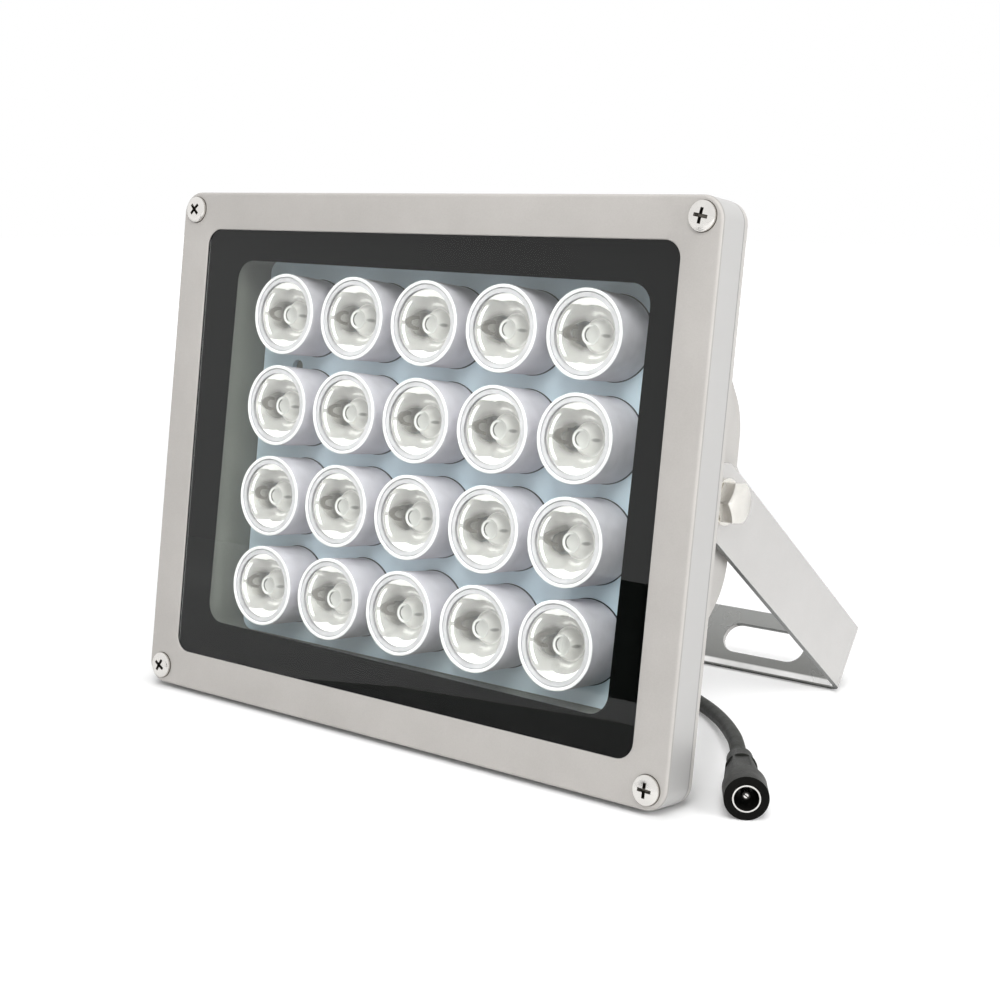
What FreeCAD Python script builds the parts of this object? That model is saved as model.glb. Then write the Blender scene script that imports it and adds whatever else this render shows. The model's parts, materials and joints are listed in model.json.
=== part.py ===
import FreeCAD, Part
import math
import os

Vector = FreeCAD.Vector

# Every length is in millimetres, every angle in degrees.
# The lamp head is drawn upright: X to the right, Y back from the frame's front plane, Z up, its centre at X = Z = 0.

# Front frame
frame_width = 178.6
frame_height = 142.0
frame_corner = 6.0
frame_edge = 0.9
frame_plate = 2.6
frame_wall = 2.3
skirt_depth = 9.9
frame_side_bar = 10.65
frame_end_bar = 10.45
opening_corner = 4.5
band_width = 2.6
band_fall = 0.3
lip_depth = 0.6
lip_chamfer = 0.3
pocket_rib_wall = 1.8

# Glass, its seals and its print
glass_overlap = 2.5
glass_thickness = 5.0
glass_corner = 3.5
glass_clearance = 0.5
front_gasket_thickness = 0.2
print_thickness = 0.1
print_margin = 0.5
print_side_width = 9.5
print_end_width = 9.0
window_corner = 5.5
window_turn = 0.76
rear_gasket_thickness = 1.5
rear_gasket_reach = 2.0

# Frame screws, M4 pan heads
screw_side_inset = 5.4
screw_end_inset = 5.0
screw_radius = 1.95
screw_length = 12.0
screw_head_radius = 3.6
screw_head_height = 1.3
screw_head_rim = 0.5
screw_head_crown = 2.6
screw_frame_clearance = 0.25
screw_thread_clearance = 0.05
screw_hole_spare = 2.0
screw_boss_radius = 4.2
screw_boss_clearance = 0.3
screw_boss_cap = 1.3

# Rear housing
flange_thickness = 3.9
flange_clearance = 0.3
flange_rim_gap = 0.1
flange_rim_setback = 0.1
chamber_side_inset = 6.75
chamber_end_inset = 6.05
chamber_corner = 4.0
chamber_floor = 23.0
body_wall = 3.0
body_corner = 8.0
body_draft = 1.8
floor_thickness = 4.0
cheek_inset = 3.7
cheek_thickness = 5.0
cheek_depth = 49.5
cheek_foot_inset = 7.5
cheek_slope = 28.0
cheek_round = 18.0
fin_count = 12
fin_margin = 16.2
fin_thickness = 2.2
fin_setback = 1.5
fin_shoulder = 7.0
driver_chamber_width = 60.0
driver_chamber_height = 68.0
driver_chamber_depth = 39.0
driver_wall = 3.0
driver_corner = 4.0

# Pivot
pivot_depth = 39.5
pivot_boss_radius = 12.0
pivot_boss_rise = 1.1
pivot_inner_boss_radius = 8.0
pivot_inner_boss_length = 14.4

# LED board and LEDs
board_clearance = 0.4
board_thickness = 1.6
board_corner = 3.5
wire_hole_side_inset = 13.7
wire_hole_z = 24.0
wire_hole_radius = 2.0
led_columns = 5
led_rows = 4
led_side_inset = 21.1
led_end_inset = 16.4
led_side = 5.0
led_height = 1.5

# Lens holders and lenses
optic_sides = 16
holder_spacing = 3.1
holder_height = 14.5
holder_taper = 0.3
holder_rim_wall = 0.9
holder_seat_depth = 1.9
holder_seat_wall = 2.0
holder_hole_radius = 4.6
lens_setback = 0.3
lens_seat_clearance = 0.1
lens_body_clearance = 0.25
lens_length = 11.0
lens_base_radius = 4.4
lens_well_radius = 4.4
lens_well_floor_radius = 3.4
lens_well_depth = 3.2

# Driver board
driver_board_width = 44.0
driver_board_height = 50.0
driver_board_thickness = 1.6
driver_standoff = 5.0
driver_standoff_radius = 2.5
driver_standoff_inset = 4.0

# Cable gland
gland_drop = 20.0
gland_thread_radius = 5.9
gland_thread_clearance = 0.1
gland_thread_length = 6.0
gland_hex_across = 15.0
gland_hex_height = 4.5
gland_neck_radius = 5.0
gland_neck_length = 6.0
gland_nut_across = 15.0
gland_nut_length = 12.0
gland_nut_gap = 0.5
gland_nut_mouth_radius = 4.0
gland_nut_dome = 3.5
gland_seal_clearance = 0.15
gland_fit = 0.1
gland_room = 11.2

# Bracket, a bent flat strip
bracket_thickness = 1.6
bracket_width = 19.6
bracket_clearance = 0.1
bracket_length = 96.1
bracket_bend = 1.5
bracket_slot_length = 27.0
bracket_slot_width = 9.3
bracket_slot_inset = 26.8
bracket_hole_radius = 4.0

# Pivot bolts, M6 hex, with flat washers
bolt_radius = 3.0
bolt_length = 16.0
bolt_head_across = 10.0
bolt_head_height = 4.0
bolt_head_chamfer = 0.5
bolt_running_clearance = 0.08
bolt_thread_clearance = 0.05
washer_radius = 6.0
washer_thickness = 1.2
washer_hole_clearance = 0.2

# Stance: the flange's lower rear edge and the bracket's lower edge stand on one floor
lean = 8.2

# Cord and its socket, laid on that floor; places are from the point below the pivot
cord_radius = 2.0
cord_first_run = 13.0
cord_route = [(0.3, 33.0, 35.5), (2.0, 39.5, 23.0), (7.5, 40.5, 11.0), (18.0, 40.5, 3.9), (36.5, 37.6, 2.2),
              (52.5, 28.7, 2.15), (65.7, 17.0, 3.1), (77.6, 2.5, 4.7)]
cord_lead = 11.0
cord_ease = 0.45
plug_neck = (88.55, -13.7)
plug_heading = (0.547, -0.837)
plug_length = 27.0
plug_radius = 5.3
plug_barrel_length = 8.0
plug_shoulder_radius = 5.0
plug_shoulder_length = 0.8
plug_grip_radius = 3.8
plug_collar_radius = 3.3
plug_collar_length = 5.4
plug_panels = 6
plug_panel_width = 3.4
plug_panel_depth = 0.45
plug_panel_margin = 1.3
plug_bore_depth = 12.0
sleeve_radius = 3.3
sleeve_wall = 0.35
sleeve_length = 11.0
sleeve_proud = 0.2
pin_radius = 1.05
pin_length = 9.0

quarter_turn = 90.0
overcut = 1.0
near_zero = 0.01

# Places that follow from the sizes
opening_width = frame_width - 2 * frame_side_bar
opening_height = frame_height - 2 * frame_end_bar
screw_pitch_x = frame_width - 2 * screw_side_inset
screw_pitch_z = frame_height - 2 * screw_end_inset
glass_width = opening_width + 2 * glass_overlap
glass_height = opening_height + 2 * glass_overlap
window_width = opening_width - 2 * print_side_width
window_height = opening_height - 2 * print_end_width
chamber_width = opening_width - 2 * chamber_side_inset
chamber_height = opening_height - 2 * chamber_end_inset
body_width = chamber_width + 2 * body_wall
body_height = chamber_height + 2 * body_wall
glass_front = lip_depth + front_gasket_thickness
glass_back = glass_front + glass_thickness
flange_front = glass_back + print_thickness + rear_gasket_thickness
flange_back = flange_front + flange_thickness
flange_width = frame_width - 2 * (frame_wall + flange_clearance)
flange_height = frame_height - 2 * (frame_wall + flange_clearance)
flange_corner = frame_corner - frame_wall
pocket_width = glass_width + 2 * glass_clearance
pocket_height = glass_height + 2 * glass_clearance
body_back = chamber_floor + floor_thickness
cheek_face = body_width / 2 - cheek_inset
fin_pitch = 2 * (cheek_face - fin_margin) / (fin_count - 1)
pivot_boss_face = cheek_face + pivot_boss_rise
board_width = chamber_width - 2 * board_clearance
board_height = chamber_height - 2 * board_clearance
board_front = chamber_floor - board_thickness
wire_hole_x = wire_hole_side_inset - board_width / 2
led_pitch_x = (chamber_width - 2 * led_side_inset) / (led_columns - 1)
led_pitch_z = (chamber_height - 2 * led_end_inset) / (led_rows - 1)
holder_rim_radius = (min(led_pitch_x, led_pitch_z) - holder_spacing) / 2
holder_base_radius = holder_rim_radius - holder_taper
rim_front = board_front - holder_height
bracket_inner_face = pivot_boss_face + bracket_clearance
bracket_slot_centre = bracket_inner_face - bracket_slot_inset
bracket_outer_face = bracket_inner_face + bracket_thickness
pivot_height = ((frame_height / 2 - flange_rim_setback) * math.cos(math.radians(lean))
                - (pivot_depth - flange_back) * math.sin(math.radians(lean)))
bracket_reach = math.hypot(bracket_length, bracket_width / 2)
bracket_drop = (math.degrees(math.asin(pivot_height / bracket_reach))
                - math.degrees(math.atan2(bracket_width / 2, bracket_length)))


def around(angle):
    return Vector(math.cos(math.radians(angle)), 0, math.sin(math.radians(angle)))


def outline(width, height, corner, depth):
    """A closed rectangle with round corners in the plane Y = depth."""
    edges = []
    ends = []
    for quarter, (right, up) in enumerate(((1, 1), (-1, 1), (-1, -1), (1, -1))):
        centre = Vector(right * (width / 2 - corner), depth, up * (height / 2 - corner))
        start, middle, end = [centre + around(quarter_turn * (quarter + share)) * corner for share in (0, 0.5, 1)]
        ends.append((start, end))
        edges.append(Part.Arc(start, middle, end).toShape())
    for place in range(4):
        edges.append(Part.makeLine(ends[place][1], ends[(place + 1) % 4][0]))
    return Part.Wire(Part.__sortEdges__(edges))


def plate(width, height, corner, front, back):
    """A flat plate with round corners between two depths."""
    return Part.Face(outline(width, height, corner, front)).extrude(Vector(0, back - front, 0))


def tapered(front_size, front, back_size, back):
    """A block with round corners whose outline changes evenly between two depths."""
    return Part.makeLoft([outline(*front_size, front), outline(*back_size, back)], True, True)


def rod(radius, front, back, x=0.0, z=0.0):
    """A round rod along Y."""
    return Part.makeCylinder(radius, back - front, Vector(x, front, z), Vector(0, 1, 0))


def turned(profile):
    """A solid of revolution about Y from (radius, depth) corners."""
    corners = [Vector(radius, depth, 0) for radius, depth in profile]
    face = Part.Face(Part.makePolygon(corners + corners[:1]))
    return face.revolve(Vector(), Vector(0, 1, 0), 360)


def faceted(profile, sides, bored):
    """A many-sided solid round Y from (radius, depth) corners, open along its axis where it's bored."""
    turn = 4 * quarter_turn / sides
    rings = [Part.makePolygon([around(turn * (side + 0.5)) * radius + Vector(0, depth, 0)
                               for side in range(sides + 1)]) for radius, depth in profile]
    faces = [] if bored else [Part.Face(rings[0]), Part.Face(rings[-1])]
    for near, far in zip(rings, rings[1:] + rings[:1] if bored else rings[1:]):
        if abs(near.BoundBox.YMin - far.BoundBox.YMin) < near_zero:
            narrow, wide = sorted((near, far), key=lambda ring: ring.Length)
            faces.append(Part.Face(wide).cut(Part.Face(narrow)).Faces[0])
            continue
        for first, second in zip(near.Edges, far.Edges):
            corners = [first.firstVertex().Point, first.lastVertex().Point,
                       second.lastVertex().Point, second.firstVertex().Point]
            faces.append(Part.Face(Part.makePolygon(corners + corners[:1])))
    shell = Part.makeShell(faces)
    shell.sewShape()
    solid = Part.makeSolid(shell)
    return solid if solid.Volume > 0 else solid.reversed()


def prism_across(profile, left, right):
    """A solid along X from (depth, height) corners."""
    corners = [Vector(left, depth, height) for depth, height in profile]
    return Part.Face(Part.makePolygon(corners + corners[:1])).extrude(Vector(right - left, 0, 0))


def hexagon(across, front, back):
    """A hexagonal prism along Y with a flat on each side of Z."""
    radius = across / math.sqrt(3)
    corners = [around(60 * side) * radius + Vector(0, front, 0) for side in range(6)]
    return Part.Face(Part.makePolygon(corners + corners[:1])).extrude(Vector(0, back - front, 0))


def joined(shapes):
    """One solid from several that meet."""
    return shapes[0].fuse(shapes[1:]).removeSplitter()


def pointed(shape, base, direction):
    """A shape drawn along Y, set at a place and turned to a direction."""
    turned_shape = shape.copy()
    turned_shape.Placement = FreeCAD.Placement(base, FreeCAD.Rotation(Vector(0, 1, 0), direction))
    return turned_shape


def corners_of(pitch_x, pitch_z):
    return [(right * pitch_x / 2, up * pitch_z / 2) for up in (1, -1) for right in (-1, 1)]


screw_places = corners_of(screw_pitch_x, screw_pitch_z)
led_places = [(row + 1, column + 1, (column - (led_columns - 1) / 2) * led_pitch_x,
               ((led_rows - 1) / 2 - row) * led_pitch_z)
              for row in range(led_rows) for column in range(led_columns)]


def make_front_frame():
    frame = plate(frame_width, frame_height, frame_corner, 0, skirt_depth)
    front_edges = [edge for edge in frame.Edges if edge.BoundBox.YMax < frame_edge / 2]
    frame = frame.makeFillet(frame_edge, front_edges)
    inside = plate(frame_width - 2 * frame_wall, frame_height - 2 * frame_wall, frame_corner - frame_wall,
                   frame_plate, skirt_depth + overcut)
    rib_width = pocket_width + 2 * pocket_rib_wall
    rib_height = pocket_height + 2 * pocket_rib_wall
    rib_back = flange_front - screw_boss_clearance
    rib = plate(rib_width, rib_height, glass_corner + pocket_rib_wall, frame_plate / 2, rib_back)
    for x, z in screw_places:
        rib = rib.cut(rod(screw_boss_radius + screw_boss_clearance, frame_plate, rib_back + overcut, x, z))
    frame = frame.cut(inside).fuse(rib)
    pocket = plate(pocket_width, pocket_height, glass_corner + glass_clearance, lip_depth, skirt_depth)
    opening = plate(opening_width, opening_height, opening_corner, -overcut, lip_depth + overcut)
    band = tapered((opening_width + 2 * band_width, opening_height + 2 * band_width, opening_corner + band_width), 0,
                   (opening_width, opening_height, opening_corner), band_fall)
    lip = tapered((opening_width + 2 * lip_chamfer, opening_height + 2 * lip_chamfer,
                   opening_corner + lip_chamfer), band_fall / 2,
                  (opening_width, opening_height, opening_corner), lip_depth)
    frame = frame.cut([pocket, opening, band, lip])
    for x, z in screw_places:
        frame = frame.cut(rod(screw_radius + screw_frame_clearance, -overcut, frame_plate + overcut, x, z))
    return frame


def make_front_gasket():
    outer = plate(glass_width, glass_height, glass_corner, lip_depth, glass_front)
    return outer.cut(plate(opening_width, opening_height, opening_corner, 0, glass_back))


def make_cover_glass():
    return plate(glass_width, glass_height, glass_corner, glass_front, glass_back)


def make_glass_border():
    back = glass_back + print_thickness
    border = plate(glass_width - 2 * print_margin, glass_height - 2 * print_margin, glass_corner - print_margin,
                   glass_back, back)
    window = plate(window_width, window_height, window_corner, glass_front, flange_front)
    window.rotate(Vector(), Vector(0, 1, 0), window_turn)
    return border.cut(window)


def make_rear_gasket():
    front = glass_back + print_thickness
    outer = plate(glass_width, glass_height, glass_corner, front, flange_front)
    inner = plate(chamber_width + 2 * rear_gasket_reach, chamber_height + 2 * rear_gasket_reach,
                  chamber_corner + rear_gasket_reach, glass_front, flange_back)
    return outer.cut(inner)


def make_frame_screws():
    screw = turned([(0, -screw_head_height), (screw_head_crown, -screw_head_height),
                    (screw_head_radius, -screw_head_rim), (screw_head_radius, 0), (screw_radius, 0),
                    (screw_radius, screw_length), (0, screw_length)])
    screws = []
    for x, z in screw_places:
        copy = screw.copy()
        copy.translate(Vector(x, 0, z))
        screws.append(copy)
    return Part.makeCompound(screws)


def lobe(setback, left, right, rounded):
    """A wall across X with a flat back and straight slopes, its shoulders rounded or cut straight."""
    foot = chamber_floor + floor_thickness / 2
    back = cheek_depth - setback
    reach = body_height / 2 - cheek_foot_inset
    flat = reach - cheek_slope
    block = prism_across([(foot, -reach), (body_back, -reach), (back, -flat), (back, flat), (body_back, reach),
                          (foot, reach)], left, right)
    shoulders = [edge for edge in block.Edges
                 if edge.BoundBox.YMin > back - near_zero and edge.BoundBox.ZLength < near_zero]
    return block.makeFillet(cheek_round, shoulders) if rounded else block.makeChamfer(fin_shoulder, shoulders)


def make_rear_housing():
    bosses = [rod(screw_boss_radius, frame_plate + screw_boss_clearance,
                  screw_length + screw_hole_spare + screw_boss_cap, x, z) for x, z in screw_places]
    reach = plate(flange_width, flange_height, flange_corner, 0, body_back)
    bosses = [boss.common(reach) for boss in bosses]
    flange = plate(flange_width, flange_height, flange_corner, flange_front, flange_back)
    draft = 2 * (body_back - flange_back) * math.tan(math.radians(body_draft))
    body = tapered((body_width, body_height, body_corner), flange_back,
                   (body_width - draft, body_height - draft, body_corner - draft / 2), body_back)
    rim = plate(frame_width - 2 * flange_rim_setback, frame_height - 2 * flange_rim_setback,
                frame_corner - flange_rim_setback, skirt_depth + flange_rim_gap, flange_back)
    parts = [flange, rim, body] + bosses
    for left in (cheek_face - cheek_thickness, -cheek_face):
        parts.append(lobe(0, left, left + cheek_thickness, True))
    parts.append(plate(driver_chamber_width, driver_chamber_height, driver_corner, chamber_floor,
                       driver_chamber_depth))
    gland_space = Part.makeBox(2 * gland_room, cheek_depth, 2 * gland_room,
                               Vector(-gland_room, driver_chamber_depth, -gland_drop - gland_room))
    for place in range(fin_count):
        middle = (place - (fin_count - 1) / 2) * fin_pitch
        fin = lobe(fin_setback, middle - fin_thickness / 2, middle + fin_thickness / 2, False)
        parts.append(fin.cut(gland_space))
    for side in (1, -1):
        outer = Part.makeCylinder(pivot_boss_radius, pivot_boss_face - cheek_face,
                                  Vector(side * cheek_face, pivot_depth, 0), Vector(side, 0, 0))
        inner = Part.makeCylinder(pivot_inner_boss_radius, pivot_inner_boss_length,
                                  Vector(side * pivot_boss_face, pivot_depth, 0), Vector(-side, 0, 0))
        parts += [outer, inner]
    housing = joined(parts)
    wall = driver_chamber_depth - driver_wall
    cuts = [plate(chamber_width, chamber_height, chamber_corner, glass_back, chamber_floor),
            plate(driver_chamber_width - 2 * driver_wall, driver_chamber_height - 2 * driver_wall,
                  driver_corner - driver_wall / 2, glass_back, wall),
            rod(gland_thread_radius + gland_thread_clearance, wall - overcut, cheek_depth, 0, -gland_drop)]
    for x, z in screw_places:
        cuts.append(rod(screw_radius + screw_thread_clearance, 0, screw_length + screw_hole_spare, x, z))
    for side in (1, -1):
        cuts.append(Part.makeCylinder(bolt_radius + bolt_thread_clearance, pivot_inner_boss_length,
                                      Vector(side * pivot_boss_face, pivot_depth, 0), Vector(-side, 0, 0)))
    standoffs = [rod(driver_standoff_radius, wall - driver_standoff, wall + driver_wall / 2, x, z)
                 for x, z in corners_of(driver_board_width - 2 * driver_standoff_inset,
                                        driver_board_height - 2 * driver_standoff_inset)]
    return joined([housing.cut(cuts)] + standoffs)


def make_led_board():
    board = plate(board_width, board_height, board_corner, board_front, chamber_floor)
    return board.cut(rod(wire_hole_radius, rim_front, body_back, wire_hole_x, wire_hole_z))


def make_led_chips():
    chips = []
    for row, column, x, z in led_places:
        chips.append(Part.makeBox(led_side, led_height, led_side,
                                  Vector(x - led_side / 2, board_front - led_height, z - led_side / 2)))
    return Part.makeCompound(chips)


def holder_wall_radius(depth):
    """Outer radius of a holder, which tapers from its rim to its base."""
    share = (depth - rim_front) / holder_height
    return holder_rim_radius + (holder_base_radius - holder_rim_radius) * share


def make_holder():
    seat = rim_front + holder_seat_depth
    return faceted([(holder_rim_radius, rim_front), (holder_base_radius, board_front),
                    (holder_hole_radius, board_front),
                    (holder_wall_radius(seat) - holder_seat_wall, seat),
                    (holder_rim_radius - holder_rim_wall, seat),
                    (holder_rim_radius - holder_rim_wall, rim_front)], optic_sides, True)


def make_lens():
    front = rim_front + lens_setback
    seat = rim_front + holder_seat_depth
    rear = front + lens_length
    flange_radius = holder_rim_radius - holder_rim_wall - lens_seat_clearance
    body_radius = holder_wall_radius(seat) - holder_seat_wall - lens_body_clearance
    return faceted([(lens_well_floor_radius, front + lens_well_depth), (lens_well_radius, front),
                    (flange_radius, front), (flange_radius, seat), (body_radius, seat),
                    (lens_base_radius, rear)], optic_sides, False)


def make_driver_board():
    back = driver_chamber_depth - driver_wall - driver_standoff
    front = back - driver_board_thickness
    return Part.makeBox(driver_board_width, driver_board_thickness, driver_board_height,
                        Vector(-driver_board_width / 2, front, -driver_board_height / 2))


gland_hex_back = driver_chamber_depth + gland_hex_height
gland_neck_back = gland_hex_back + gland_neck_length


def make_cable_gland():
    gland = joined([rod(gland_thread_radius, driver_chamber_depth - gland_thread_length, driver_chamber_depth),
                    hexagon(gland_hex_across, driver_chamber_depth, gland_hex_back),
                    rod(gland_neck_radius, gland_hex_back, gland_neck_back)])
    gland.translate(Vector(0, 0, -gland_drop))
    return gland


def make_gland_nut():
    front = gland_hex_back + gland_nut_gap
    back = front + gland_nut_length
    corner = gland_nut_across / math.sqrt(3)
    dome = turned([(0, front), (corner, front), (corner, back - gland_nut_dome), (gland_nut_mouth_radius, back),
                   (0, back)])
    nut = hexagon(gland_nut_across, front, back).common(dome)
    nut = nut.cut([rod(gland_neck_radius + gland_fit, driver_chamber_depth, gland_neck_back),
                   rod(cord_radius + gland_seal_clearance, driver_chamber_depth, back + overcut)])
    nut.translate(Vector(0, 0, -gland_drop))
    return nut


def slot(length, width, front, back, x):
    """A slot with round ends along X, cut through a plate."""
    run = (length - width) / 2
    ends = [rod(width / 2, front, back, x - run), rod(width / 2, front, back, x + run)]
    middle = Part.makeBox(2 * run, back - front, width, Vector(x - run, front, -width / 2))
    return joined([middle] + ends)


def make_bracket():
    """The strip drawn with its arms along Y from the pivot, its base at their far end."""
    bend = bracket_bend + bracket_thickness
    start = -bracket_width
    outer = Part.makeBox(2 * bracket_outer_face, bracket_length - start, bracket_width,
                         Vector(-bracket_outer_face, start, -bracket_width / 2))
    inner = Part.makeBox(2 * bracket_inner_face, bracket_length - bracket_thickness - 2 * start, 2 * bracket_width,
                         Vector(-bracket_inner_face, 2 * start, -bracket_width))
    folds = []
    for block, radius in ((outer, bend), (inner, bracket_bend)):
        far = block.BoundBox.YMax
        edges = [edge for edge in block.Edges
                 if edge.BoundBox.YMin > far - near_zero and edge.BoundBox.XLength < near_zero]
        folds.append(block.makeFillet(radius, edges))
    strip = folds[0].cut(folds[1])
    arm_end = Part.makeCylinder(bracket_width / 2, 4 * bracket_outer_face,
                                Vector(-2 * bracket_outer_face, 0, 0), Vector(1, 0, 0))
    rest = Part.makeBox(4 * bracket_outer_face, bracket_length + overcut, bracket_width,
                        Vector(-2 * bracket_outer_face, 0, -bracket_width / 2))
    strip = strip.common(joined([rest, arm_end]))
    base_front = bracket_length - bracket_thickness - overcut
    base_back = bracket_length + overcut
    cuts = [Part.makeCylinder(bolt_radius + bolt_running_clearance, 4 * bracket_outer_face,
                              Vector(-2 * bracket_outer_face, 0, 0), Vector(1, 0, 0)),
            rod(bracket_hole_radius, base_front, base_back)]
    for side in (1, -1):
        cuts.append(slot(bracket_slot_length, bracket_slot_width, base_front, base_back,
                         side * bracket_slot_centre))
    return strip.cut(cuts)


def make_pivot_bolt():
    """A hex bolt drawn along Y, the seat of its head at Y = 0 and its shank towards +Y."""
    corner = bolt_head_across / math.sqrt(3)
    dome = turned([(0, -bolt_head_height), (corner - 2 * bolt_head_chamfer, -bolt_head_height),
                   (corner, bolt_head_chamfer - bolt_head_height), (corner, 0), (0, 0)])
    head = hexagon(bolt_head_across, -bolt_head_height, 0).common(dome)
    return joined([head, rod(bolt_radius, 0, bolt_length)])


def make_pivot_washer():
    washer = rod(washer_radius, 0, washer_thickness)
    return washer.cut(rod(bolt_radius + washer_hole_clearance, -overcut, washer_thickness + overcut))


def both_sides(shape, face):
    """Two copies of a piece drawn along Y, set on the pivot axis and pointing inwards from +-face."""
    copies = []
    for side in (1, -1):
        copies.append(pointed(shape, Vector(side * face, pivot_depth, 0), Vector(-side, 0, 0)))
    return Part.makeCompound(copies)


def in_stance(shape):
    """A piece of the head, leaned back about the pivot and raised to its height over the floor."""
    placed = shape.copy()
    placed.translate(Vector(0, -pivot_depth, 0))
    placed.rotate(Vector(), Vector(1, 0, 0), -lean)
    placed.translate(Vector(0, 0, pivot_height))
    return placed


def bracket_in_stance(shape):
    placed = shape.copy()
    placed.rotate(Vector(), Vector(1, 0, 0), -bracket_drop)
    placed.translate(Vector(0, 0, pivot_height))
    return placed


def head_point(depth, height):
    """Where a point of the head's middle plane comes to stand."""
    return in_stance(Part.Vertex(Vector(0, depth, height))).Point


def cord_points():
    first = head_point(gland_neck_back, -gland_drop)
    second = head_point(gland_neck_back + cord_first_run, -gland_drop)
    heading = Vector(plug_heading[0], plug_heading[1], 0).normalize()
    neck = Vector(plug_neck[0], plug_neck[1], plug_radius)
    return [first, second] + [Vector(*place) for place in cord_route] + [neck - heading * cord_lead, neck]


def make_cord(points):
    """A round tube along straight runs joined by tangent arcs as large as the runs allow."""
    edges = []
    last = points[0]
    length = 0.0
    for before, corner, after in zip(points, points[1:], points[2:]):
        arriving = (corner - before).normalize()
        leaving = (after - corner).normalize()
        turn = arriving.getAngle(leaving)
        tangent = cord_ease * min((corner - before).Length, (after - corner).Length)
        radius = tangent / math.tan(turn / 2)
        start = corner - arriving * tangent
        end = corner + leaving * tangent
        bisector = (leaving - arriving).normalize()
        middle = corner + bisector * (radius / math.cos(turn / 2) - radius)
        edges.append(Part.makeLine(last, start))
        edges.append(Part.Arc(start, middle, end).toShape())
        length += (start - last).Length + radius * turn
        last = end
        print("cord turn %.1f deg, radius %.1f mm" % (math.degrees(turn), radius))
    edges.append(Part.makeLine(last, points[-1]))
    length += (points[-1] - last).Length
    section = Part.Wire(Part.makeCircle(cord_radius, points[0], points[1] - points[0]))
    tube = Part.Wire(edges).makePipeShell([section], True, False)
    print("cord length %.2f mm, volume %.1f, section x length %.1f" %
          (length, tube.Volume, math.pi * cord_radius ** 2 * length))
    return tube


def make_plug_body():
    """The moulded grip, drawn along Y from its neck to its face."""
    barrel_start = plug_length - plug_barrel_length
    grip_start = plug_collar_length
    body = turned([(0, 0), (plug_collar_radius, 0), (plug_collar_radius, plug_collar_length),
                   (plug_grip_radius, plug_collar_length),
                   (plug_shoulder_radius, barrel_start - plug_shoulder_length / 2),
                   (plug_radius, barrel_start + plug_shoulder_length / 2), (plug_radius, plug_length),
                   (0, plug_length)])
    panel_length = barrel_start - plug_shoulder_length / 2 - grip_start - 2 * plug_panel_margin
    slope = math.degrees(math.atan2(plug_shoulder_radius - plug_grip_radius,
                                    barrel_start - plug_shoulder_length / 2 - grip_start))
    for place in range(plug_panels):
        panel = Part.makeBox(plug_panel_width, panel_length, plug_radius,
                             Vector(-plug_panel_width / 2, 0, 0))
        panel.rotate(Vector(), Vector(1, 0, 0), slope)
        panel.translate(Vector(0, grip_start + plug_panel_margin, plug_grip_radius - plug_panel_depth))
        panel.rotate(Vector(), Vector(0, 1, 0), 4 * quarter_turn * place / plug_panels)
        body = body.cut(panel)
    return body.cut(rod(sleeve_radius, plug_length - plug_bore_depth, plug_length + overcut))


def make_socket_sleeve():
    front = plug_length + sleeve_proud
    sleeve = rod(sleeve_radius, plug_length - plug_bore_depth, front)
    return sleeve.cut(rod(sleeve_radius - sleeve_wall, front - sleeve_length, front + overcut))


def make_socket_pin():
    floor = plug_length + sleeve_proud - sleeve_length
    return rod(pin_radius, floor, floor + pin_length)


def on_cord_end(shape):
    heading = Vector(plug_heading[0], plug_heading[1], 0)
    return pointed(shape, Vector(plug_neck[0], plug_neck[1], plug_radius), heading)


head_pieces = {
    "front_frame": make_front_frame(),
    "front_gasket": make_front_gasket(),
    "cover_glass": make_cover_glass(),
    "glass_border": make_glass_border(),
    "rear_gasket": make_rear_gasket(),
    "frame_screws": make_frame_screws(),
    "rear_housing": make_rear_housing(),
    "led_board": make_led_board(),
    "led_chips": make_led_chips(),
    "driver_board": make_driver_board(),
    "cable_gland": make_cable_gland(),
    "gland_nut": make_gland_nut(),
    "pivot_bolts": both_sides(make_pivot_bolt(), bracket_outer_face + washer_thickness),
    "pivot_washers": both_sides(make_pivot_washer(), bracket_outer_face + washer_thickness),
}
holder = make_holder()
lens = make_lens()
for row, column, x, z in led_places:
    for name, shape in (("lens_holder", holder), ("lens", lens)):
        copy = shape.copy()
        copy.translate(Vector(x, 0, z))
        head_pieces["%s_%d_%d" % (name, row, column)] = copy

pieces = {name: in_stance(shape) for name, shape in head_pieces.items()}
pieces["bracket"] = bracket_in_stance(make_bracket())
bounds = Part.makeCompound(list(pieces.values())).optimalBoundingBox(False)
pieces["cord"] = make_cord(cord_points())
pieces["plug_body"] = on_cord_end(make_plug_body())
pieces["socket_sleeve"] = on_cord_end(make_socket_sleeve())
pieces["socket_pin"] = on_cord_end(make_socket_pin())

# The origin is on the floor under the middle of the lamp, its cord left out.
to_origin = Vector(-(bounds.XMin + bounds.XMax) / 2, -(bounds.YMin + bounds.YMax) / 2, -bounds.ZMin)
os.makedirs("parts", exist_ok=True)
for name, shape in pieces.items():
    shape.translate(to_origin)
    shape.exportStep("parts/%s.step" % name)
print("origin shift", to_origin, "pivot height", pivot_height, "bracket drop", bracket_drop)
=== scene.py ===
import json
import math

import bmesh
import bpy
from mathutils import Matrix, Vector


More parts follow.
